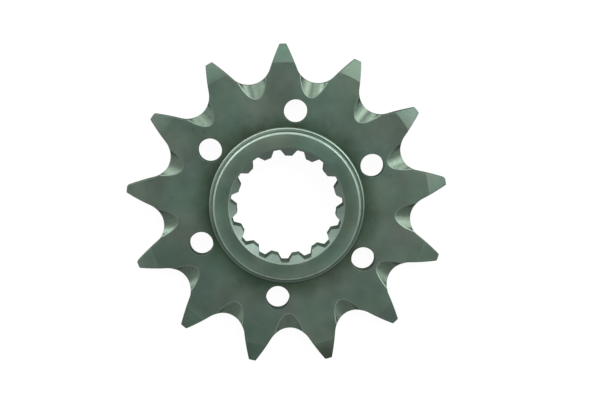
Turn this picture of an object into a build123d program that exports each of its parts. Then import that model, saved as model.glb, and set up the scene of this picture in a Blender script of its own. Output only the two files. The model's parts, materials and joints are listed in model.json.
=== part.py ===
from build123d import *
from math import cos, radians, sin, sqrt, tan
import os

# A front chain sprocket, turned and cut from one steel blank.
# The origin is on the sprocket's axis, in the plane of its flat back face.
# +Z points from the back face to the raised boss.
# All lengths are in millimetres and all angles in degrees.

# Chain that runs on the teeth
CHAIN_PITCH = 15.875
ROLLER_DIAMETER = 10.16
ROLLER_CLEARANCE = 0.07

# Teeth
TOOTH_COUNT = 13
FIRST_TOOTH_ANGLE = 8.28
SEAT_ANGLE = 114
FLANK_RADIUS = 60
TIP_WIDTH = 1.54
TIP_CORNER_RADIUS = 0.3

# Toothed plate
PLATE_THICKNESS = 5.8
BEVEL_WIDTH = 4.1
BEVEL_ANGLE = 13

# Raised boss on the front, with a low ledge round its foot
BOSS_DIAMETER = 33.4
BOSS_HEIGHT = 4.4
BOSS_CHAMFER = 0.5
LEDGE_WIDTH = 0.7
LEDGE_HEIGHT = 1.7
LEDGE_CHAMFER = 0.2

# Splined bore
SPLINE_COUNT = 15
FIRST_SPLINE_GROOVE_ANGLE = 4.0
SPLINE_MINOR_DIAMETER = 22.5
SPLINE_DEPTH = 1.4
SPLINE_MOUTH_WIDTH = 3.06
SPLINE_FLOOR_WIDTH = 1.5
LEAD_IN_WIDTH = 0.35
LEAD_IN_ANGLE = 58

# Ring of round holes through the web
HOLE_COUNT = 6
HOLE_DIAMETER = 5.3
HOLE_CIRCLE_DIAMETER = 42.3
FIRST_HOLE_ANGLE = 24.54

# Sloping scoop at the foot of every tooth gap, which lets mud out
SCOOP_LENGTH = 3.3
SCOOP_RADIUS = 3.8
SCOOP_SLOPE = 22
SCOOP_EDGE_BREAK = 0.12

# Sizes that follow from those above
TOOTH_STEP = 360 / TOOTH_COUNT
PITCH_RADIUS = CHAIN_PITCH / (2 * sin(radians(TOOTH_STEP / 2)))
SEAT_RADIUS = ROLLER_DIAMETER / 2 + ROLLER_CLEARANCE
ROOT_RADIUS = PITCH_RADIUS - SEAT_RADIUS
BOSS_RADIUS = BOSS_DIAMETER / 2
BOSS_FACE = PLATE_THICKNESS + BOSS_HEIGHT
BORE_RADIUS = SPLINE_MINOR_DIAMETER / 2
SPLINE_FLOOR_RADIUS = BORE_RADIUS + SPLINE_DEPTH

# For a gap that points along X, its seat ends at this angle and its flank is an arc about this point
FLANK_ANGLE = 180 - SEAT_ANGLE / 2
FLANK_CENTRE = Vector(PITCH_RADIUS, 0) + Vector(SEAT_RADIUS + FLANK_RADIUS, 0).rotate(Axis.Z, FLANK_ANGLE)

# A tooth ends where its two flanks have come to within the tip's width of each other
FLANK_FROM_TOOTH = FLANK_CENTRE.rotate(Axis.Z, -TOOTH_STEP / 2)
TIP_REACH = FLANK_FROM_TOOTH.X + sqrt(FLANK_RADIUS**2 - (FLANK_FROM_TOOTH.Y + TIP_WIDTH / 2) ** 2)
TIP_RADIUS = Vector(TIP_REACH, TIP_WIDTH / 2).length


def blank():
    """Turned blank: bevelled plate, boss with its ledge, and the plain bore."""
    mouth = SPLINE_FLOOR_RADIUS + LEAD_IN_WIDTH
    lead_in = (mouth - BORE_RADIUS) / tan(radians(LEAD_IN_ANGLE))
    bevel_start = TIP_RADIUS - BEVEL_WIDTH
    bevel_drop = BEVEL_WIDTH * tan(radians(BEVEL_ANGLE))
    ledge = BOSS_RADIUS + LEDGE_WIDTH
    ledge_face = PLATE_THICKNESS + LEDGE_HEIGHT
    section = make_face(
        Polyline(
            (BORE_RADIUS, lead_in),
            (mouth, 0),
            (bevel_start, 0),
            (TIP_RADIUS, bevel_drop),
            (TIP_RADIUS, PLATE_THICKNESS - bevel_drop),
            (bevel_start, PLATE_THICKNESS),
            (ledge, PLATE_THICKNESS),
            (ledge, ledge_face - LEDGE_CHAMFER),
            (ledge - LEDGE_CHAMFER, ledge_face),
            (BOSS_RADIUS, ledge_face),
            (BOSS_RADIUS, BOSS_FACE - BOSS_CHAMFER),
            (BOSS_RADIUS - BOSS_CHAMFER, BOSS_FACE),
            (mouth, BOSS_FACE),
            (BORE_RADIUS, BOSS_FACE - lead_in),
            close=True,
        )
    )
    return revolve(Plane.XZ * section, Axis.Z)


def tooth_outline():
    """Outline of all the teeth: a roller seat, two rounded flanks and a flat tip each."""
    flank_start = Vector(PITCH_RADIUS, 0) + Vector(SEAT_RADIUS, 0).rotate(Axis.Z, FLANK_ANGLE)
    flank_end = Vector(TIP_REACH, -TIP_WIDTH / 2).rotate(Axis.Z, TOOTH_STEP / 2)
    next_flank = Vector(TIP_REACH, TIP_WIDTH / 2).rotate(Axis.Z, TOOTH_STEP / 2)
    tip_middle = Vector(TIP_RADIUS, 0).rotate(Axis.Z, TOOTH_STEP / 2)
    outward = ((flank_start + flank_end) / 2 - FLANK_CENTRE).normalized()

    flank = ThreePointArc(flank_start, FLANK_CENTRE + outward * FLANK_RADIUS, flank_end)
    other_flank = flank.mirror(Plane.XZ)
    seat = ThreePointArc(other_flank @ 0, (ROOT_RADIUS, 0), flank_start)
    tip = ThreePointArc(flank_end, tip_middle, next_flank)
    edges = [
        edge.rotate(Axis.Z, gap_angle)
        for gap_angle in gap_angles()
        for edge in (other_flank, seat, flank, tip)
    ]
    outline = make_face(edges)
    tip_corners = outline.vertices().filter_by(
        lambda corner: Vector(corner.X, corner.Y).length > (PITCH_RADIUS + TIP_RADIUS) / 2
    )
    return fillet(tip_corners, TIP_CORNER_RADIUS)


def gap_angles():
    """Angle of each gap, midway between two teeth."""
    return [FIRST_TOOTH_ANGLE + (tooth + 0.5) * TOOTH_STEP for tooth in range(TOOTH_COUNT)]


def scoops():
    """Slanted round-bottomed cutters, one at the foot of every tooth gap."""
    slope = radians(SCOOP_SLOPE)
    apex = ROOT_RADIUS - SCOOP_LENGTH
    run_in = SCOOP_RADIUS * tan(slope)
    cutter = Cylinder(
        SCOOP_RADIUS,
        (TIP_RADIUS - apex) / cos(slope) + run_in,
        align=(Align.CENTER, Align.CENTER, Align.MIN),
    )
    start = Plane(
        origin=(
            apex + SCOOP_RADIUS * sin(slope),
            0,
            PLATE_THICKNESS + SCOOP_RADIUS * cos(slope),
        ),
        x_dir=(0, 1, 0),
        z_dir=(cos(slope), 0, -sin(slope)),
    )
    return [Rot(Z=angle) * start.location * cutter for angle in gap_angles()]


def spline_grooves():
    """Straight-sided grooves that turn the plain bore into a splined one."""
    # The cutter's sides run on at the same slant, to start inside the bore by one groove's depth
    start_radius = BORE_RADIUS - SPLINE_DEPTH
    start_width = SPLINE_MOUTH_WIDTH + (SPLINE_MOUTH_WIDTH - SPLINE_FLOOR_WIDTH)
    groove = make_face(
        Polyline(
            (start_radius, -start_width / 2),
            (SPLINE_FLOOR_RADIUS, -SPLINE_FLOOR_WIDTH / 2),
            (SPLINE_FLOOR_RADIUS, SPLINE_FLOOR_WIDTH / 2),
            (start_radius, start_width / 2),
            close=True,
        )
    )
    cutter = extrude(groove, BOSS_FACE)
    step = 360 / SPLINE_COUNT
    return [Rot(Z=FIRST_SPLINE_GROOVE_ANGLE + step * index) * cutter for index in range(SPLINE_COUNT)]


def web_holes():
    """Round holes through the web, evenly spaced on one circle."""
    cutter = Cylinder(HOLE_DIAMETER / 2, PLATE_THICKNESS, align=(Align.CENTER, Align.CENTER, Align.MIN))
    step = 360 / HOLE_COUNT
    return [
        Rot(Z=FIRST_HOLE_ANGLE + step * index) * Pos(X=HOLE_CIRCLE_DIAMETER / 2) * cutter
        for index in range(HOLE_COUNT)
    ]


def sprocket():
    """The whole sprocket, as one solid."""
    body = blank() & extrude(tooth_outline(), BOSS_FACE)
    body -= spline_grooves()
    body -= web_holes()
    body -= scoops()

    # The scoops' rims are the only elliptical edges in the plate's front face
    scoop_rims = body.edges().filter_by(GeomType.ELLIPSE).filter_by_position(
        Axis.Z, PLATE_THICKNESS - SCOOP_EDGE_BREAK, PLATE_THICKNESS + SCOOP_EDGE_BREAK
    )
    return chamfer(scoop_rims, SCOOP_EDGE_BREAK)


os.makedirs("parts", exist_ok=True)
export_step(sprocket(), "parts/sprocket.step")
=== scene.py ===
import bpy
import bmesh
import json
import numpy as np
from math import cos, hypot, pi, radians, sin, sqrt, tan
from mathutils import Matrix, Vector
from mathutils.geometry import delaunay_2d_cdt


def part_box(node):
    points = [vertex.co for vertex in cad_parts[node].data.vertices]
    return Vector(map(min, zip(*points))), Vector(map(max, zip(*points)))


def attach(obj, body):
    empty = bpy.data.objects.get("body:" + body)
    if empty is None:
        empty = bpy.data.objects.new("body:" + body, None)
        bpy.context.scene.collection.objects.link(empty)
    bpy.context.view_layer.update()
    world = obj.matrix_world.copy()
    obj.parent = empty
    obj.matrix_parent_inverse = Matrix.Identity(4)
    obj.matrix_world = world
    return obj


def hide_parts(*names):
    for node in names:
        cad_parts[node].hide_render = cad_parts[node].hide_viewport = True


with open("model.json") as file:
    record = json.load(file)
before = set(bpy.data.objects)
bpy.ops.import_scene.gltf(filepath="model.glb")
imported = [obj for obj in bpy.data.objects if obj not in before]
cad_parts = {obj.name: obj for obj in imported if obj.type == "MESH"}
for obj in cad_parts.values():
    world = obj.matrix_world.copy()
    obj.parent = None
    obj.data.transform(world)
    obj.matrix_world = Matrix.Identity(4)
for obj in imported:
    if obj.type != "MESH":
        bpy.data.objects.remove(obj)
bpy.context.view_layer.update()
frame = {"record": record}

# The sprocket's toothed edge. It is one steel plate, hobbed right round its rim: each gap
# is a seat for one chain roller with a slightly rounded flank on both sides, and each tooth
# ends in a narrow flat tip. Plan points are complex numbers in millimetres, x + iy.
tooth_count = 13
tooth_step = 2 * pi / tooth_count
first_tooth = radians(8.28)
chain_pitch = 15.875
seat_radius = 5.15
seat_angle = radians(114)
flank_radius = 60
tip_width = 1.54
tip_corner = 0.3
pitch_radius = chain_pitch / (2 * sin(tooth_step / 2))
root_radius = pitch_radius - seat_radius
gap_angles = first_tooth + (np.arange(tooth_count) + 0.5) * tooth_step

# A flank is an arc about this point, and a tooth ends where its two flanks are a tip's width apart
seat_end = pi - seat_angle / 2
flank_centre = pitch_radius + (seat_radius + flank_radius) * np.exp(1j * seat_end)
from_tooth = flank_centre * np.exp(-0.5j * tooth_step)
tip_reach = from_tooth.real + sqrt(flank_radius**2 - (from_tooth.imag + tip_width / 2) ** 2)
tip_radius = hypot(tip_reach, tip_width / 2)


def arc(centre, radius, start, end, steps, hollow=False):
    """Points along an arc, and the direction out of the steel at each of them."""
    outward = np.exp(1j * np.linspace(start, end, steps + 1))
    return centre + radius * outward, -outward if hollow else outward


def tooth_edge():
    """The whole toothed outline as one closed ring, with its outward directions."""
    # The tip's corner is an arc that lies inside both the flank's circle and the tip's
    reach = abs(flank_centre)
    to_corner = tip_radius - tip_corner
    across = flank_radius - tip_corner
    spread = np.arccos((to_corner**2 + reach**2 - across**2) / (2 * to_corner * reach))
    corner_centre = to_corner * np.exp(1j * (np.angle(flank_centre) - spread))
    flank_end = np.angle(corner_centre - flank_centre)
    stretches = [
        arc(pitch_radius, seat_radius, pi, seat_end, steps=30, hollow=True),
        arc(flank_centre, flank_radius, seat_end - pi, flank_end, steps=12),
        arc(corner_centre, tip_corner, flank_end, np.angle(corner_centre), steps=4),
        arc(0, tip_radius, np.angle(corner_centre), tooth_step / 2, steps=2),
    ]
    # These lead from a gap's root to the middle of a tooth; the other half of the gap mirrors them
    half = np.array([np.concatenate([part[:-1] for part in parts]) for parts in zip(*stretches)])
    last = np.array([[stretches[-1][0][-1]], [stretches[-1][1][-1]]])
    gap = np.hstack([last.conj(), half[:, :0:-1].conj(), half])
    ring = np.hstack([gap * np.exp(1j * angle) for angle in gap_angles])
    return ring[0], ring[1]


# The plate's two faces. The front is milled flat, with a shallow bevel turned on the teeth,
# slightly crowned, and a round-bottomed scoop cut down into every gap so that mud can
# escape. The back is flat, with a straight bevel of the same size.
plate = 5.8
bevel_width = 4.1
bevel_slope = tan(radians(13))
bevel_start = tip_radius - bevel_width
bevel_crown = 0.38
dressed_crown = 0.47
dressed_middle = radians(147)
dressed_reach = radians(40)
scoop_radius = 3.8
scoop_slope = radians(22)
scoop_length = 3.35
scoop_apex = root_radius - scoop_length
scoop_axis_x = scoop_apex + scoop_radius * sin(scoop_slope)
scoop_axis_z = scoop_radius * cos(scoop_slope)
rim_round = 0.15

# The ring of scoops was cut slightly to the left of the sprocket's axis
scoops_middle = -0.13


def bevel_drop(plan):
    """How far the bevel has fallen below the flat face."""
    return np.maximum(np.abs(plan) - bevel_start, 0) * bevel_slope


def dressing(plan):
    """How far the ridge of the front bevel is dressed away, which it is on three teeth."""
    from_dressed = np.angle(plan * np.exp(-1j * dressed_middle))
    return np.exp(-((from_dressed / dressed_reach) ** 4))


def front_bevel_drop(plan):
    """The same on the front, where the bevel is slightly crowned between its two edges."""
    beyond = np.maximum(np.abs(plan) - bevel_start, 0)
    crown = bevel_crown + dressed_crown * dressing(plan)
    return beyond * bevel_slope * (1 - crown + crown * beyond / bevel_width)


def nearest_gap(plan):
    """Number of the nearest gap, and places relative to its scoop when that points along X."""
    number = np.round((np.angle(plan) - gap_angles[0]) / tooth_step)
    return number, (plan - scoops_middle) * np.exp(-1j * (number * tooth_step + gap_angles[0]))


def scoop_depth(plan):
    """Depth of the nearest scoop below the front face, negative outside it, and its steepness."""
    local = nearest_gap(plan)[1]
    wall = np.sqrt(np.maximum(scoop_radius**2 - local.imag**2, 1))
    depth = tan(scoop_slope) * (local.real - scoop_axis_x) + wall / cos(scoop_slope) - scoop_axis_z
    steep = np.hypot(tan(scoop_slope), local.imag / wall / cos(scoop_slope))
    return np.where(np.abs(local.imag) < scoop_radius, depth, -scoop_radius), steep


def front_height(plan):
    """Height of the front face, with the scoops' rims slightly rounded."""
    drop = front_bevel_drop(plan)
    depth, steep = scoop_depth(plan)
    below = depth - drop
    rounded = np.maximum(rim_round * steep - np.abs(below), 0)
    return plate - drop - np.maximum(below, 0) - rounded**2 / (4 * rim_round * steep)


def back_height(plan):
    """Height of the back face."""
    return bevel_drop(plan)


def scoop_line(level, inset=0.0):
    """Plan points where a scoop is this deep, moved further in by an inset, for a gap along X."""
    # The points lie closer together towards both sides, and stop just short of the half circle
    line_points = 75
    half_circle_share = 0.93
    across = np.linspace(-1, 1, line_points)
    across = np.sin(across * pi / 2 * half_circle_share) * scoop_radius
    wall = np.sqrt(scoop_radius**2 - across**2)
    along = scoop_axis_x + (scoop_axis_z + level - wall / cos(scoop_slope)) / tan(scoop_slope)
    inward = tan(scoop_slope) - 1j * across / wall / cos(scoop_slope)
    return along + 1j * across + inset * inward / np.abs(inward)


# Every sharp edge of the sprocket is broken by hand or by tumbling, so each edge of the
# mesh is a narrow quarter round with a thin line of support beside it. The points keep how
# far the coat is worn at them.
edge_round = 0.06
support = 0.07
edge_wear = 0.2
points = []
worn = []
faces = []


def add(plan, level, wear=0.0):
    """Adds points at a height and gives their numbers."""
    plan, level, wear = np.broadcast_arrays(plan, level, wear)
    start = len(points)
    points.extend(zip(plan.real, plan.imag, level))
    worn.extend(wear)
    return np.arange(start, len(points))


def strips(rings):
    """Joins closed rings of equally many points with four-sided faces."""
    for ring, other in zip(rings, rings[1:]):
        faces.extend(zip(ring, np.roll(ring, -1), np.roll(other, -1), other))


def cut_edge(plan, outward, wall_rows):
    """A cut right through the plate with rounded edges; gives its ring in each face."""
    rings = [[], []]
    ends = []
    for side, (surface, up) in enumerate(((front_height, 1), (back_height, -1))):
        beside = plan - outward * (edge_round + support)
        rings[side].append(add(beside, surface(beside)))
        for turn in np.linspace(0, pi / 2, 5):
            at = plan - outward * edge_round * (1 - sin(turn))
            level = surface(at) - up * edge_round * (1 - cos(turn))
            rings[side].append(add(at, level, edge_wear * sin(2 * turn)))
        ends.append(level)
    middle = []
    # The wall between the two rounds has one row close to each of them
    for share in np.concatenate([[0.02], np.linspace(0.1, 0.9, wall_rows), [0.98]]):
        middle.append(add(plan, ends[0] + (ends[1] - ends[0]) * share))
    strips(rings[0] + middle + rings[1][::-1])
    return rings[0][0], rings[1][0]


# Six plain round holes, which make the sprocket lighter. They are drilled through the steel
# web on one circle, with lightly broken edges, and their sizes come from the part's record.
hole_mount = next(mount for mount in frame["record"]["mounts"] if mount["name"] == "hole_circle")
hole_count = hole_mount["dims"]["count"]
hole_radius = hole_mount["dims"]["hole_r_mm"]
hole_circle = hole_mount["dims"]["pcd_mm"] / 2
first_hole = radians(24.54)
hole_rings = []
for index in range(hole_count):
    centre = hole_circle * np.exp(1j * (first_hole + index * 2 * pi / hole_count))
    ring, outward = arc(centre, hole_radius, 0, 2 * pi, steps=80, hollow=True)
    hole_rings.append(cut_edge(ring[:-1], outward[:-1], wall_rows=3))
rim_rings = cut_edge(*tooth_edge(), wall_rows=4)

# The bore and the boss, turned about the axis. Fifteen broached grooves run the length of
# the bore, a conical lead-in opens both its ends, and the boss has a chamfered edge and a
# low rounded ledge at its foot. Each column of points runs from that foot to the back face.
MM = 0.001
spline_count = 15
first_groove = radians(4.0)
bore_radius = 11.25
groove_floor = 12.65
groove_mouth_half = 1.53
groove_floor_half = 0.75
groove_round = 0.12
lead_in_mouth = 13.0
lead_in_slope = tan(radians(58))
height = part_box("sprocket")[1].z / MM
boss_radius = 16.7
boss_chamfer = 0.5
ledge_radius = 17.5
ledge_face = plate + 1.7
web_overlap = 0.6


def round_path(path, corners, grain=pi / 14):
    """Rows of points along straight runs with rounded, worn corners, and each row's wear."""
    rows = [(path[0], 0.0)]
    for before, corner, after, (radius, wear) in zip(path, path[1:], path[2:], corners):
        to_before = (before - corner) / np.abs(before - corner)
        to_after = (after - corner) / np.abs(after - corner)
        inner = np.arccos(np.clip((to_before * to_after.conj()).real, -1, 1))
        setback = radius / np.tan(inner / 2)
        bisector = (to_before + to_after) / np.abs(to_before + to_after)
        centre = corner + bisector * radius / np.sin(inner / 2)
        first = corner + to_before * setback - centre
        last = corner + to_after * setback - centre
        sweep = np.angle(last / first)
        steps = max(3, int(np.ceil(np.abs(sweep).max() / grain)))
        rows.append((corner + to_before * (setback + support), 0.0))
        for share in np.linspace(0, 1, steps + 1):
            rows.append((centre + first * np.exp(1j * sweep * share), wear * sin(pi * share)))
        rows.append((corner + to_after * (setback + support), 0.0))
    rows.append((path[-1], 0.0))
    return rows


def groove_ring():
    """One turn of the splined bore as plan points, starting in the middle of a groove."""
    # A groove's straight flank runs on past its mouth to where it meets the bore's circle
    floor_corner = groove_floor + 1j * groove_floor_half
    along_flank = (bore_radius + 1j * groove_mouth_half) - floor_corner
    middle = (floor_corner * along_flank.conjugate()).real
    rest = (abs(floor_corner) ** 2 - bore_radius**2) * abs(along_flank) ** 2
    run = (middle + sqrt(middle**2 - rest)) / abs(along_flank) ** 2
    crest_corner = floor_corner - along_flank * run
    crest_start = np.angle(crest_corner)
    past_corner = 0.04
    crest_path = crest_corner * np.exp(1j * past_corner)
    half_path = [groove_floor + 0j, floor_corner, crest_corner, crest_path]
    half_path = [np.array([point]) for point in half_path]
    rows = round_path(half_path, [(groove_round, 0)] * 2, grain=pi / 8)
    half = np.array([row[0][0] for row in rows])
    crest, _ = arc(0, bore_radius, crest_start + past_corner, pi / spline_count, steps=3)
    half = np.concatenate([half[:-1], crest])
    groove = np.concatenate([half[-2:0:-1].conj(), half])
    turns = 2 * pi / spline_count * np.arange(spline_count)
    return np.concatenate([groove * np.exp(1j * (first_groove + turn)) for turn in turns])


spline_ring = groove_ring()
bearing = np.exp(1j * np.angle(spline_ring))
bore_wall = np.abs(spline_ring)
lead_in = (lead_in_mouth - bore_wall) / lead_in_slope
profile = [
    (ledge_radius + web_overlap, plate),
    (ledge_radius, plate),
    (ledge_radius, ledge_face),
    (boss_radius, ledge_face),
    (boss_radius, height - boss_chamfer),
    (boss_radius - boss_chamfer, height),
    (lead_in_mouth, height),
    (bore_wall, height - lead_in),
    (bore_wall, lead_in),
    (lead_in_mouth, 0),
    (lead_in_mouth + web_overlap, 0),
]

# The radius of each corner of the profile but its two ends, and the wear there
corners = [
    (0.10, 0),  # the ledge's outer foot
    (0.36, 0),  # the ledge's top edge
    (0.15, 0),  # the crevice between the ledge and the boss
    (0.55, 0),  # the chamfer's lower edge
    (0.35, 0),  # the chamfer's upper edge
    (0.45, 0),  # the mouth of the front lead-in
    (0.08, 0.4),  # the front end of the splines
    (0.08, 0.4),  # the back end of the splines
    (0.30, 0.5),  # the mouth of the back lead-in
]
every_column = np.ones_like(bore_wall)
boss_rows = round_path([(out + 1j * up) * every_column for out, up in profile], corners)
boss_rings = [add(row.real * bearing, row.imag, wear) for row, wear in boss_rows]
strips(boss_rings)


# The web, which is the flat steel between the toothed edge, the six holes and the foot of
# the boss. Each of its faces is one sheet of triangles, with rows of points along the ridge
# of the bevel and, on the front, across the crown and along the scoops.
def inside(ring, places):
    """Which places lie inside a closed ring."""
    crossings = np.zeros(len(places), int)
    for start, end in zip(ring, np.roll(ring, -1)):
        if start.imag != end.imag:
            spans = (start.imag > places.imag) != (end.imag > places.imag)
            reach = (places.imag - start.imag) / (end.imag - start.imag) * (end.real - start.real)
            crossings += spans & (places.real < start.real + reach)
    return crossings % 2 == 1


def clear_of(taken, places, margin):
    """Which places keep this distance from every point that is taken."""
    return np.array([np.abs(taken - place).min() > margin for place in places], bool)


def face_sheet(rim, openings, lines, surface):
    """Fills one face of the plate between its rings, with rows of points along the lines."""
    rim_margin = 0.10
    field_margin = 0.6
    column_gap = 1.1
    row_share = 0.9

    def plan_of(ring):
        return np.array([complex(*points[number][:2]) for number in ring])

    numbers = []
    links = []
    for ring in [rim] + openings:
        start = len(numbers)
        links += [(start + step, start + (step + 1) % len(ring)) for step in range(len(ring))]
        numbers += list(ring)
    rim_plan = plan_of(rim)
    opening_plans = [plan_of(ring) for ring in openings]
    for line in lines:
        kept = np.flatnonzero(inside(rim_plan, line) & clear_of(rim_plan, line, rim_margin))
        for run in np.split(kept, np.flatnonzero(np.diff(kept) > 1) + 1):
            fresh = len(numbers) + np.arange(len(run))
            links += zip(fresh.tolist(), fresh[1:].tolist())
            numbers += list(add(line[run], surface(line[run])))

    # Loose points fill the rest of the face, away from its rings and lines
    spread = np.arange(-tip_radius, tip_radius, column_gap)
    field = (spread[:, None] + 1j * row_share * spread[None, :]).ravel()
    field = field[inside(rim_plan, field)]
    for ring in opening_plans:
        field = field[~inside(ring, field)]
    field = field[clear_of(plan_of(numbers), field, field_margin)]
    numbers += list(add(field, surface(field)))

    plans = plan_of(numbers)
    corners, _, triangles, origins, _, _ = delaunay_2d_cdt(
        [(plan.real, plan.imag) for plan in plans], links, [], 0, 1e-6)
    corners = np.array([complex(*corner) for corner in corners])
    triangles = np.array(triangles)
    source = []
    for corner, origin in zip(corners, origins):
        # A place where two lines cross is new
        source.append(numbers[origin[0]] if origin else add([corner], surface(corner))[0])
    centres = corners[triangles].mean(axis=1)
    kept = inside(rim_plan, centres)
    for ring in opening_plans:
        kept &= ~inside(ring, centres)
    faces.extend(tuple(source[corner] for corner in triangle) for triangle in triangles[kept])


full_turn = np.exp(1j * np.linspace(0, 2 * pi, 721))
ridge_lines = [(bevel_start + offset) * full_turn for offset in (-support, 0, support)]
crown_offsets = (0.7, 1.4, 2.1, 2.8, 3.5)
crown_lines = [(bevel_start + offset) * full_turn[::2] for offset in crown_offsets]
rim_insets = (-0.32, -0.19, -0.11, -0.05, 0, 0.05, 0.11, 0.19, 0.32)
scoop_levels = (0.30, 0.42, 0.55, 0.70, 0.85, 1.0, 1.15, 1.3, 1.45)
one_scoop = [scoop_line(0, inset) for inset in rim_insets]
one_scoop += [scoop_line(level) for level in scoop_levels]
scoop_lines = [
    scoops_middle + line * np.exp(1j * angle) for angle in gap_angles for line in one_scoop]
front_openings = [rings[0] for rings in hole_rings] + [boss_rings[0]]
back_openings = [rings[1] for rings in hole_rings] + [boss_rings[-1]]
face_sheet(rim_rings[0], front_openings, ridge_lines + crown_lines + scoop_lines, front_height)
face_sheet(rim_rings[1], back_openings, ridge_lines, back_height)


# The whole sprocket is one piece of steel, so it is one mesh. Handling has worn the coat thin
# along the scoops' rims, most at the bottom, and along the ridge of the bevel. Each point keeps
# its wear, whether it lies in a scoop or on a side wall, and its place across the scoop.
def hump(value, middle, width):
    """A smooth hump of height 1 round a middle value."""
    return np.exp(-(((value - middle) / width) ** 2))


places = np.array(points)
plans = places[:, 0] + 1j * places[:, 1]
levels = places[:, 2]
near_front = 0.16
scoop_fade = 0.15
side_fade = 0.1
most_rubbed = radians(285)
depth, steep = scoop_depth(plans)
on_front = np.abs(levels - front_height(plans)) < near_front
from_rim = depth / steep
rim_wear = hump(from_rim, -0.01, 0.065) + 0.15 * hump(from_rim, -0.12, 0.12)
rim_wear *= np.clip(0.7 + 0.3 * np.cos(np.angle(plans) - most_rubbed), 0.6, 1)
ridge_wear = 0.25 * (1 - dressing(plans)) * hump(np.abs(plans), bevel_start, 0.05)
worn = np.maximum(worn, np.where(on_front, rim_wear, 0))
worn = np.maximum(worn, ridge_wear)
scooped = np.where(on_front, np.clip(from_rim / scoop_fade, 0, 1), 0)
below_front = np.clip((front_height(plans) - levels) / side_fade, 0, 1)
above_back = np.clip((levels - back_height(plans)) / side_fade, 0, 1)
side = np.where(np.abs(plans) > ledge_radius + web_overlap, below_front * above_back, 0)

# Each scoop's places across it are shifted by its gap, so that no two have the same streaks
gap_shift = 10
gap_number, in_gap = nearest_gap(plans)
across_scoop = in_gap.imag + gap_shift * gap_number

mesh = bpy.data.meshes.new("sprocket_body")
mesh.from_pydata((places * MM).tolist(), [], [list(map(int, face)) for face in faces])
kept_values = {"worn": worn, "scooped": scooped, "side": side, "across_scoop": across_scoop}
for name, values in kept_values.items():
    layer = mesh.attributes.new(name, "FLOAT", "POINT")
    layer.data.foreach_set("value", np.asarray(values, np.float32))
shape = bmesh.new()
shape.from_mesh(mesh)
bmesh.ops.recalc_face_normals(shape, faces=shape.faces)
shape.to_mesh(mesh)
shape.free()
mesh.shade_smooth()
sprocket = bpy.data.objects.new("sprocket_body", mesh)
bpy.context.scene.collection.objects.link(sprocket)
evening = sprocket.modifiers.new("even_normals", "WEIGHTED_NORMAL")
evening.keep_sharp = True


# The sprocket's finish: steel with a thin dark grey-green conversion coat. It is satin and
# slightly mottled, with painted shade and an olive oil tint round the boss's foot, bright in
# the machined scoops, rubbed through to paler steel along its edges, and painted highlights on
# sides that face the light.
def pick(sockets, key):
    """A socket by its number or its name."""
    return sockets[key] if isinstance(key, int) else next(s for s in sockets if s.name == key)


class Wire:
    """One output of a shader tree; arithmetic on it adds Math nodes."""

    def __init__(self, tree, socket=None):
        self.tree, self.socket = tree, socket

    def node(self, kind, settings=(), values=(), output=0):
        """Adds a node: its settings come first, then the values or wires of its sockets."""
        made = self.tree.nodes.new("ShaderNode" + kind)
        for name, value in dict(settings).items():
            setattr(made, name, value)
        sockets = [socket for socket in made.inputs if socket.enabled]
        given = [socket for socket in made.outputs if socket.enabled]
        named = values.items() if isinstance(values, dict) else enumerate(values)
        for key, value in named:
            if isinstance(value, Wire):
                self.tree.links.new(value.socket, pick(sockets, key))
            else:
                pick(sockets, key).default_value = value
        return Wire(self.tree, pick(given, output))

    def math(self, operation, *others):
        return self.node("Math", {"operation": operation}, (self, *others))

    def __add__(self, other):
        return self.math("ADD", other)

    def __sub__(self, other):
        return self.math("SUBTRACT", other)

    def __rsub__(self, other):
        return self.node("Math", {"operation": "SUBTRACT"}, (other, self))

    def __mul__(self, other):
        return self.math("MULTIPLY", other)

    __radd__ = __add__
    __rmul__ = __mul__

    def ramp(self, low, high, start=0.0, end=1.0):
        """Runs smoothly from start to end as this value goes from low to high."""
        limits = (self, low, high, start, end)
        return self.node("MapRange", {"interpolation_type": "SMOOTHSTEP"}, limits)

    def blend(self, first, second):
        """Mixes two colours by this value."""
        return self.node("Mix", {"data_type": "RGBA"}, {"Factor": self, "A": first, "B": second})


cut_steel = (0.1185, 0.160, 0.125, 1)
lead_in_steel = (0.130, 0.172, 0.1455, 1)
worn_and_lit_steel = (0.230, 0.290, 0.246, 1)
oil_tint = (0.96, 1.04, 0.85)
coat = bpy.data.materials.new("coated_steel")
coat.use_nodes = True
wire = Wire(coat.node_tree)
place = wire.node("VectorMath", {"operation": "SCALE"}, {
    "Vector": wire.node("TexCoord", output="Object"), "Scale": 1 / MM})
x, y, z = (wire.node("SeparateXYZ", values=[place], output=name) for name in "XYZ")
from_axis = (x * x + y * y).math("SQRT")


def patches(size, detail=2.0, offset=(0, 0, 0), squeeze=(1, 1, 1), rough=0.5):
    """Cloudy noise with patches of a size in millimetres, from 0 to 1."""
    moved = wire.node("Mapping", values={"Vector": place, "Location": offset, "Scale": squeeze})
    values = {"Vector": moved, "Scale": 1 / size, "Detail": detail, "Roughness": rough}
    return wire.node("TexNoise", values=values)


def lines_along(value, scale, detail, rough):
    """Noise in lines that lie across the way in which a value grows, from 0 to 1."""
    values = {"W": value, "Scale": scale, "Detail": detail, "Roughness": rough}
    return wire.node("TexNoise", {"noise_dimensions": "1D"}, values)


def attribute(name):
    """One of the mesh's own values."""
    return wire.node("Attribute", {"attribute_name": name}, output="Fac")


def band(value, low, high, edge=0.05):
    """Where a value lies between two limits."""
    return value.ramp(low - edge, low + edge) * value.ramp(high + edge, high - edge)


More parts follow.
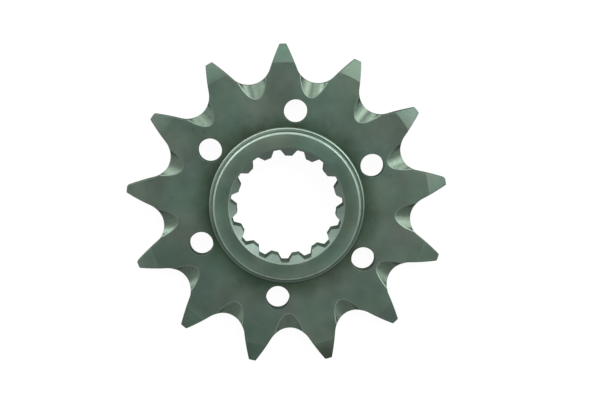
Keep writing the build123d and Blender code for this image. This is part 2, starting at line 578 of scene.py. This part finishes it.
clouds = patches(9.0, 3)
stains = patches(3.1, 4, offset=(40, 10, 0), rough=0.6)
tints = patches(11, 1.5, offset=(-30, 25, 8))
blues = patches(8, 2, offset=(60, -20, 5))
flecks = patches(0.42, 2, offset=(7, -60, 3))
grain = patches(0.16, 2, squeeze=(1, 1, 0.15), rough=0.7)
edge_noise = patches(0.9, 3, offset=(11, 5, 2))
streaks = lines_along(attribute("across_scoop"), 0.6, 2.0, 0.45)
turned = lines_along(from_axis, 6.0, 3.0, 0.7)
scooped_wire = attribute("scooped")
worn_wire = attribute("worn")
side_wire = attribute("side")

# The boss: its turned top, its worn chamfer, a painted highlight on the upper side of its wall,
# and painted shade in the crevice inside the ledge
boss_top = z.ramp(height - 0.10, height - 0.02)
boss_top = boss_top * from_axis.ramp(boss_radius - 0.5, boss_radius - 0.6)
chamfer_start = boss_radius - boss_chamfer
chamfer = from_axis.ramp(chamfer_start - 0.18, chamfer_start + 0.06)
chamfer = chamfer * z.ramp(height - 0.75, height - 0.55)
chamfer = chamfer * from_axis.ramp(boss_radius + 0.12, boss_radius - 0.24, 0.4, 1.0)
# Painted shade in the crevice between the ledge and the boss
crevice_shade = band(from_axis, boss_radius - 0.1, boss_radius + 0.34)
crevice_shade = crevice_shade * z.ramp(ledge_face - 0.2, ledge_face - 0.1)
crevice_shade = crevice_shade * z.ramp(ledge_face + 0.8, ledge_face + 0.1)
# Painted highlights: the boss's wall and the ledge's bead are lighter on the upper side, which
# faces the light
lit_side = y.ramp(-6, 12)
wall = band(from_axis, boss_radius - 0.1, boss_radius + 0.1)
wall = wall * band(z, ledge_face + 0.4, height - 0.5, 0.3)
wall = wall * lit_side

# The ledge's rounded edge, a little worn all round and with a painted highlight on the upper side,
# and its flat top, with a painted highlight on the upper left
bead_wear_and_highlight = band(from_axis, ledge_radius - 0.36, ledge_radius + 0.1) * (0.25 + lit_side * 0.7)
bead_wear_and_highlight = bead_wear_and_highlight + band(from_axis, ledge_radius - 0.66, ledge_radius - 0.36) * (y - x).ramp(8, 24)
bead_wear_and_highlight = bead_wear_and_highlight * z.ramp(plate + 1.0, plate + 1.3)

# The bore: the edge of its mouth, with a painted highlight on the lower left, its lead-ins and its
# broached walls
# A painted highlight on the lower left of the mouth's edge
mouth_edge_highlight = band(from_axis, lead_in_mouth - 0.04, lead_in_mouth + 0.14)
mouth_edge_highlight = mouth_edge_highlight * z.ramp(height - 0.3, height - 0.2)
mouth_edge_highlight = mouth_edge_highlight * (x + y).ramp(3, -12)
from_middle = (z - height / 2).math("ABSOLUTE")
cone_line = height / 2 - lead_in_mouth / lead_in_slope
on_cone = from_middle - from_axis * (1 / lead_in_slope)
on_cone = on_cone.ramp(cone_line - 0.10, cone_line - 0.04)
on_cone = on_cone * from_axis.ramp(lead_in_mouth + 0.12, lead_in_mouth)
broached = from_axis.ramp(lead_in_mouth, lead_in_mouth - 0.1) * (1 - on_cone)

# The web: its bevel, painted shade with an olive oil tint round the boss's foot, and small dark
# pits
bevelled = from_axis.ramp(bevel_start - 0.03, bevel_start + 0.03)
# Painted shade round the boss's foot, which is also tinted olive by oil
oil_and_foot_shade = z.ramp(plate - 1.4, plate - 0.4)
oil_and_foot_shade = oil_and_foot_shade * from_axis.ramp(ledge_radius - 0.05, ledge_radius + 0.05)
oil_and_foot_shade = oil_and_foot_shade * (from_axis + (stains - 0.5) * 2).ramp(ledge_radius + 5.1, ledge_radius - 1.2)
pit_cells = {"Vector": place, "Scale": 1 / 2.6, "Randomness": 1.0}
pit_colour = wire.node("TexVoronoi", values=pit_cells, output="Color")
pit_chance = wire.node("SeparateColor", values=[pit_colour])
pits = wire.node("TexVoronoi", values=pit_cells, output="Distance")
pits = pits.ramp(0.13, 0.06) * pit_chance.ramp(0.72, 0.95)


def spot(angle, from_centre, size):
    """A soft spot on a tooth's front bevel, placed by its angle in degrees."""
    along = x - from_centre * cos(radians(angle))
    across = y - from_centre * sin(radians(angle))
    near = (along * along + across * across).math("SQRT").ramp(size, size * 0.3)
    return near * bevelled * z.ramp(plate / 2, plate / 2 + 0.5)


def tinted(colour, strength, tint=(1, 1, 1)):
    """A colour made lighter or darker by a wire, more in some channels than in others."""
    channels = [strength * share for share in tint]
    return wire.node("Mix", {"data_type": "RGBA", "blend_type": "MULTIPLY"}, {
        "Factor": 1.0, "A": colour, "B": wire.node("CombineColor", values=channels)})


# The coat's own colour, greener on the boss and the bevel, and brown on one tooth, which below
# also gets painted shade
# Painted shade with a brown tint on the tooth at 285 degrees, and a painted highlight on the tooth
# at 202 degrees
brown_and_shade = spot(285, 36.0, 5.0)
lit_tooth_spot = spot(202, 34.3, 5.5)
greener = boss_top * 0.5 + bevelled * 0.35
red = tints.ramp(0.30, 0.70, 0.0830, 0.0985) * (1 - greener * 0.06) * (1 + brown_and_shade * 0.1)
green = tints.ramp(0.30, 0.70, 0.1295, 0.1265)
blue = blues.ramp(0.30, 0.70, 0.0985, 0.1050) * (1 - boss_top * 0.03)
colour = wire.node("CombineColor", values=[red, green, blue])

# How light it is: mottled all over, darker with stains and pits, with painted shade on one tooth,
# the side walls, the bore, the boss's foot and the crevice, and a painted highlight on one other
# tooth
tone = clouds.ramp(0.25, 0.75, 0.79, 1.12) * stains.ramp(0.25, 0.8, 0.94, 1.04) * (1 - pits * 0.22)
tone = tone * flecks.ramp(0.60, 0.78, 1.0, 1.12) * flecks.ramp(0.22, 0.36, 0.90, 1.0)
# Painted shade on the side walls and the brown tooth, a painted highlight on the tooth at 202
# degrees, then painted shade round the boss's foot, in the crevice and slightly in the bore
tone = tone * (1 - side_wire * 0.3) * (1 - brown_and_shade * 0.36) * (1 + lit_tooth_spot * 0.36)
tone = tone * (1 - oil_and_foot_shade * 0.56) * (1 - crevice_shade * 0.22)
tone = tone * (1 + bevelled * 0.08) * (1 - broached * 0.05)
tone = tone * (1 + boss_top * from_axis.ramp(chamfer_start - 2, chamfer_start) * 0.22)
cut_tone = streaks.ramp(0.3, 0.7, 0.95, 1.05) * flecks.ramp(0.46, 0.68, 0.95, 1.13)
lead_in_tone = flecks.ramp(0.3, 0.7, 0.95, 1.05)

# The coat with its oil tint, then the cut scoops and lead-ins, then paler steel where it is worn
# and where highlights are painted
shaded = tinted(colour, tone)
shaded = oil_and_foot_shade.blend(shaded, tinted(shaded, 1.0, oil_tint))
machined = scooped_wire.blend(shaded, tinted(cut_steel, cut_tone))
machined = on_cone.blend(machined, tinted(lead_in_steel, lead_in_tone))
# Wear, with painted highlights on the mouth's lower left and on the upper side of the bead and the
# boss's wall
wear = worn_wire + chamfer * 0.98 + mouth_edge_highlight * 0.5 + bead_wear_and_highlight + wall * 0.6
wear = wear.math("MINIMUM", 1.0) * edge_noise.ramp(0.30, 0.62, 0.75, 1.0)
final = wear.blend(machined, worn_and_lit_steel)

relief = grain * 0.5 + stains * 0.45
relief = relief + streaks * scooped_wire * 0.09 + flecks * scooped_wire * 0.5
relief = relief + turned * boss_top * 0.7
bump = wire.node("Bump", values={"Strength": 0.5, "Distance": 0.02 * MM, "Height": relief})
roughness = 0.38 + (stains - 0.5) * 0.14 + (grain - 0.5) * 0.10
roughness = roughness - scooped_wire * 0.07 - wear * 0.06 + broached * 0.32 + side_wire * 0.18
metallic = 1 - broached * 0.6 - side_wire * 0.5

steel = coat.node_tree.nodes["Principled BSDF"]
steel.inputs["Specular IOR Level"].default_value = 0
steel.inputs["Specular Tint"].default_value = (0.55, 0.70, 0.60, 1)
coat.node_tree.links.new(final.socket, steel.inputs["Base Color"])
coat.node_tree.links.new(metallic.socket, steel.inputs["Metallic"])
coat.node_tree.links.new(roughness.socket, steel.inputs["Roughness"])
coat.node_tree.links.new(bump.socket, steel.inputs["Normal"])
mesh.materials.append(coat)
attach(sprocket, "root")
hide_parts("sprocket")

# The studio's floor: a wide pale sheet that the sprocket lies on. It lights the sprocket's
# walls from below, and the camera sees it as white but for a faint shadow.
floor_half = 3.0
floor_level = -0.02 * MM
floor_mesh = bpy.data.meshes.new("floor")
floor_corners = [
    (-floor_half, -floor_half, 0), (floor_half, -floor_half, 0),
    (floor_half, floor_half, 0), (-floor_half, floor_half, 0)]
floor_mesh.from_pydata(floor_corners, [], [(0, 1, 2, 3)])
floor = bpy.data.objects.new("floor", floor_mesh)
floor.location.z = floor_level
bpy.context.scene.collection.objects.link(floor)
pale = bpy.data.materials.new("pale_floor")
pale.use_nodes = True
floor_wire = Wire(pale.node_tree)
pale_nodes = pale.node_tree.nodes
pale_surface = pale_nodes["Principled BSDF"]
pale_surface.inputs["Base Color"].default_value = (0.8, 0.8, 0.8, 1)
pale_surface.inputs["Roughness"].default_value = 0.9
pale_surface.inputs["Emission Color"].default_value = (1, 1, 1, 1)
pale_surface.inputs["Emission Strength"].default_value = 0.1
seen = floor_wire.node("LightPath", output="Is Camera Ray")
seen = seen + floor_wire.node("LightPath", output="Is Glossy Ray")
seen = seen + floor_wire.node("LightPath", output="Is Transmission Ray")
seen = seen.math("MINIMUM", 1.0)
faint = floor_wire.node("BsdfDiffuse", values={"Color": (0.09, 0.09, 0.09, 1)})
white = floor_wire.node("Emission", values={"Strength": 0.96})
lit_white = floor_wire.node("AddShader", values=[faint, white])
lit = Wire(pale.node_tree, pale_surface.outputs[0])
shown = floor_wire.node("MixShader", values=[seen, lit, lit_white])
pale.node_tree.links.new(shown.socket, pale_nodes["Material Output"].inputs["Surface"])
floor_mesh.materials.append(pale)

# The studio's surround: white to the camera. The steel reflects it as a pale grey that is
# lighter behind the sprocket than in front of it, and it lights matt surfaces less.
matt_share = 0.45
world = bpy.data.worlds.new("studio")
world.use_nodes = True
sky_wire = Wire(world.node_tree)
sky = world.node_tree.nodes["Background"]
direct = sky_wire.node("LightPath", output="Is Camera Ray")
glossy = sky_wire.node("LightPath", output="Is Glossy Ray")
through = sky_wire.node("LightPath", output="Is Transmission Ray")
direction = sky_wire.node("TexCoord", output="Generated")
towards = sky_wire.node("SeparateXYZ", values=[direction], output="Y")
surround = 0.785 + towards * 0.198
strength = (direct + through).math("MINIMUM", 1.0)
strength = strength + (1 - strength) * (glossy + (1 - glossy) * matt_share) * surround
world.node_tree.links.new(strength.socket, sky.inputs["Strength"])
sky.inputs["Color"].default_value = (1, 1, 1, 1)
bpy.context.scene.world = world

# The studio's lamps: soft panels in three rows above the sprocket, brightest behind it and
# to its right. Each row has its angle off the vertical in degrees, the size of its panels in
# metres, and the radiance of each panel by its azimuth in degrees.
lamp_distance = 0.9
rows_of_panels = {
    "high": (27, (0.28, 0.28), {15: 2.0, 48: 4.3, 98: 2.0, 150: 0.9}),
    "middle": (50, (0.42, 0.42), {15: 1.5, 42: 3.2, 105: 1.4, 135: 0.9}),
    "low": (76, (0.42, 0.40), {
        -15: 0.54, 15: 1.25, 45: 2.64, 75: 2.34, 105: 2.66, 135: 4.11, 165: 2.03, 195: 0.59}),
}


def soft_panel(name, azimuth, off_vertical, size, radiance):
    """A rectangular lamp that faces the sprocket, placed by its direction in degrees."""
    data = bpy.data.lights.new(name, "AREA")
    data.shape = "RECTANGLE"
    data.size, data.size_y = size
    data.energy = radiance * pi * size[0] * size[1]
    lamp = bpy.data.objects.new(name, data)
    turn, lean = radians(azimuth), radians(off_vertical)
    upward = Vector((cos(turn) * sin(lean), sin(turn) * sin(lean), cos(lean)))
    lamp.location = upward * lamp_distance
    lamp.rotation_euler = lamp.location.to_track_quat("Z", "Y").to_euler()
    lamp.visible_camera = False
    bpy.context.scene.collection.objects.link(lamp)


for row_name, (off_vertical, size, panels) in rows_of_panels.items():
    for azimuth, radiance in panels.items():
        soft_panel(f"{row_name}_panel_{azimuth}", azimuth, off_vertical, size, radiance)

# The camera looks down on the boss from slightly behind, as in the photograph. The axis of
# the sprocket, half way up the plate, stands at the same pixel as there.
photo_width, photo_height = 600, 400
axis_pixel = (286.68, 203.83)
pixels_per_mm = 4.42
distance = 518
lean_back, lean_aside = radians(4.4), radians(-6)
towards_camera = Vector((
    sin(lean_back) * sin(lean_aside), sin(lean_back) * cos(lean_aside), cos(lean_back)))
sideways = Vector((0, 1, 0)).cross(towards_camera).normalized()
upwards = towards_camera.cross(sideways)
camera_data = bpy.data.cameras.new("camera")
camera_data.sensor_width = 36
camera_data.lens = camera_data.sensor_width * pixels_per_mm * distance / photo_width
camera_data.shift_x = (photo_width / 2 - axis_pixel[0]) / photo_width
camera_data.shift_y = (axis_pixel[1] - photo_height / 2) / photo_width
camera = bpy.data.objects.new("camera", camera_data)
bpy.context.scene.collection.objects.link(camera)
camera.rotation_euler = Matrix((sideways, upwards, towards_camera)).transposed().to_euler()
camera.location = (Vector((0, 0, plate / 2)) + towards_camera * distance) * MM
bpy.context.scene.camera = camera
bpy.context.scene.view_settings.view_transform = "Standard"
